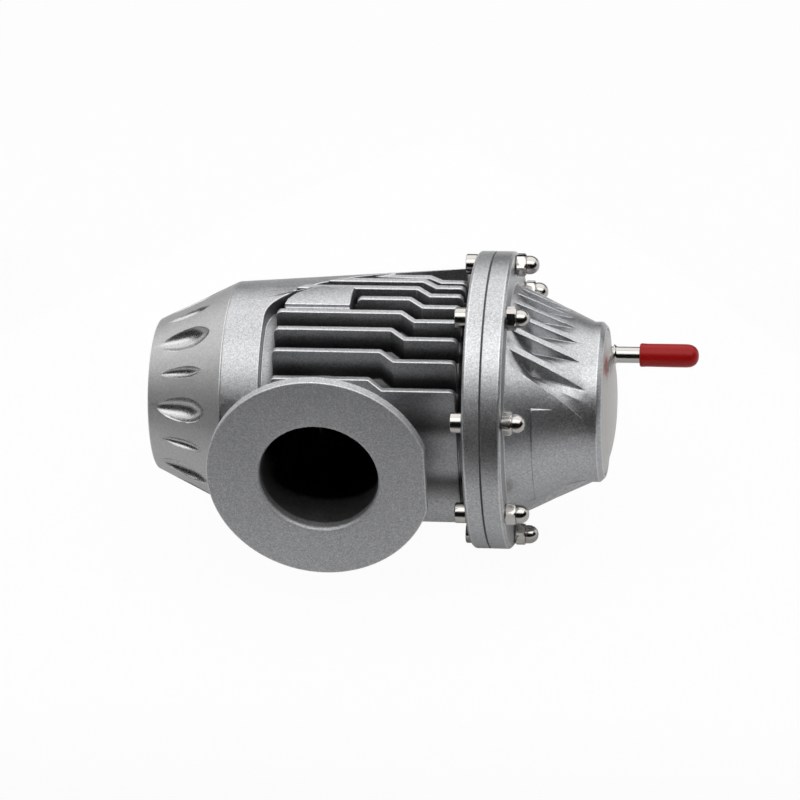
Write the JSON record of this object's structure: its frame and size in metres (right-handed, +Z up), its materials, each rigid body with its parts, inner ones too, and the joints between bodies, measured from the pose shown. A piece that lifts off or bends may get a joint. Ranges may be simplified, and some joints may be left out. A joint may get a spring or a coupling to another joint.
{
  "type": "blow off valve",
  "caption": "Side-inlet blow off valve with finned cast body, scalloped outlet cone, vaned outlet insert, bolted diaphragm cover and capped vacuum nipple.",
  "frame": {"origin": "centre of the inlet flange's outer face, on the inlet axis", "axes": "-Y out of the inlet; the main axis runs along X at y = 0.0408, outlet towards -X, diaphragm cover and vacuum nipple towards +X; +Z is up, the fins' side that the picture shows"},
  "size_m": [0.1455, 0.0808, 0.08],
  "materials": {
    "silver_paint": "satin metallic silver paint with fine flake over a die casting",
    "cone_paint": "matte silver-grey paint",
    "cover_paint": "satin metallic silver paint",
    "bare_aluminium": "machined",
    "stainless": "polished",
    "spring_steel": "drawn wire",
    "clip_steel": "blackened",
    "bush_brass": "turned",
    "black_rubber": "matte",
    "insert_plastic": "moulded",
    "badge_paint": "satin silver, blank, with a red arc",
    "red_vinyl": "soft gloss"
  },
  "bodies": {
    "housing": {"valve_body": "silver_paint", "outlet_cone": "cone_paint", "outlet_insert": "insert_plastic", "insert_clip": "clip_steel", "valve_seat": "bare_aluminium", "guide_bush": "bush_brass", "stem_seal": "black_rubber", "diaphragm": "black_rubber", "main_spring": "spring_steel", "pilot_spring": "spring_steel", "diaphragm_cover": "cover_paint", "end_badge": "badge_paint", "vacuum_nipple": "stainless", "dust_cap": "red_vinyl", "flange_screws": "stainless", "dome_nuts": "stainless"},
    "main_valve_group": {"main_valve": "bare_aluminium", "main_valve_seal": "black_rubber"},
    "stem_group": {"valve_stem": "stainless", "pilot_valve": "bare_aluminium", "pilot_seal": "black_rubber", "lift_collar": "stainless", "lower_plate": "bare_aluminium", "upper_plate": "bare_aluminium", "stem_washer": "stainless", "stem_nut": "stainless"}
  },
  "joints": [
    {"name": "main_valve_lift", "type": "slide", "parent": "housing", "child": "main_valve_group", "axis": [1, 0, 0], "range_m": [0, 0.006], "stiffness_N_per_m": 900, "springref_m": -0.01, "deforming": ["main_spring", "pilot_spring", "diaphragm"]},
    {"name": "pilot_lift", "type": "slide", "parent": "main_valve_group", "child": "stem_group", "axis": [1, 0, 0], "range_m": [0, 0.002], "stiffness_N_per_m": 1500, "springref_m": -0.008, "deforming": ["pilot_spring", "diaphragm"]}
  ]
}
